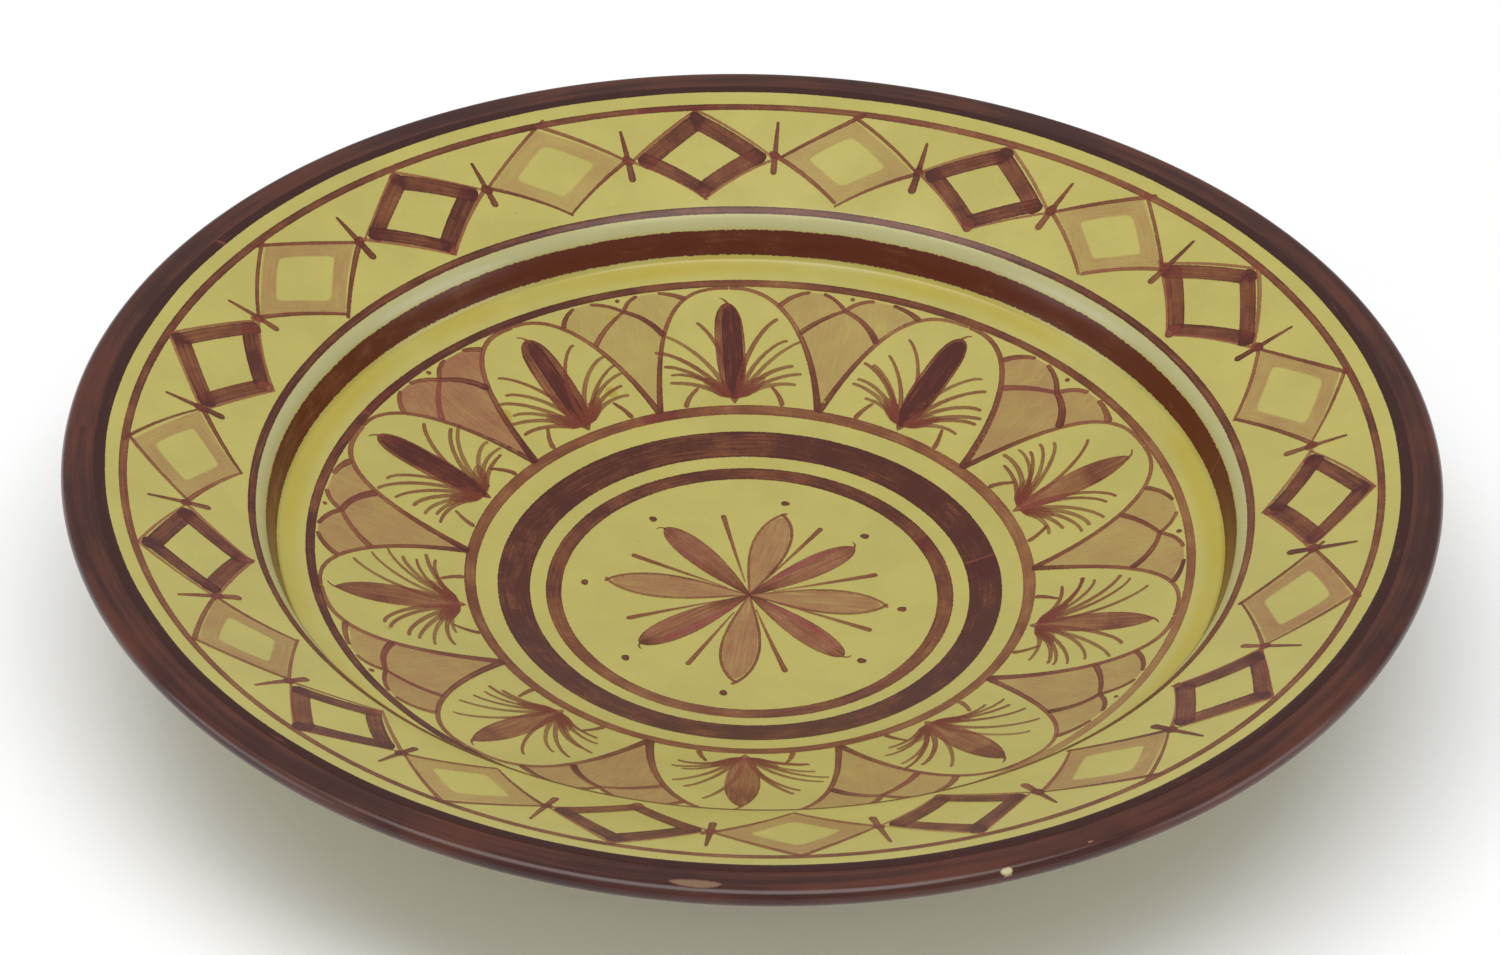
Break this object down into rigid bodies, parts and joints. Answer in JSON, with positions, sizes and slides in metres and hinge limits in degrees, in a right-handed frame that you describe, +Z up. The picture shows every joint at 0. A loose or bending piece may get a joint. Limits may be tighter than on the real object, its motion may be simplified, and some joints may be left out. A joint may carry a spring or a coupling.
{
  "type": "hand painted ceramic plate",
  "caption": "Round glazed ceramic dish with a wide sloping flange, a short steep wall, a dished floor and a foot ring.",
  "frame": {"origin": "centre of the foot ring's standing face", "axes": "+Z up along the plate's turning axis, from the foot towards the open face; -Y towards the viewer"},
  "size_m": [0.25, 0.25, 0.044],
  "materials": {
    "clay": "bare fired earthenware, fine grained and matt",
    "yellow_glaze": "opaque soft yellow glaze with a satin shine and small dark specks",
    "rim_glaze": "dark brown glossy glaze, thinner and redder at its edges",
    "brown_band": "dense brown banding under a shiny glaze",
    "brown_line": "red-brown brushed line, uneven in strength"
  },
  "bodies": {
    "root": {"clay_body": "clay", "foot_ring": "clay", "face_glaze": "yellow_glaze", "rim_glaze": "rim_glaze", "back_glaze": "yellow_glaze", "base_glaze": "yellow_glaze", "outer_line": "brown_line", "shoulder_line": "brown_line", "wall_band": "brown_band", "well_line": "brown_line", "medallion_line": "brown_line", "medallion_band": "brown_band", "inner_ring": "brown_line"}
  },
  "joints": []
}
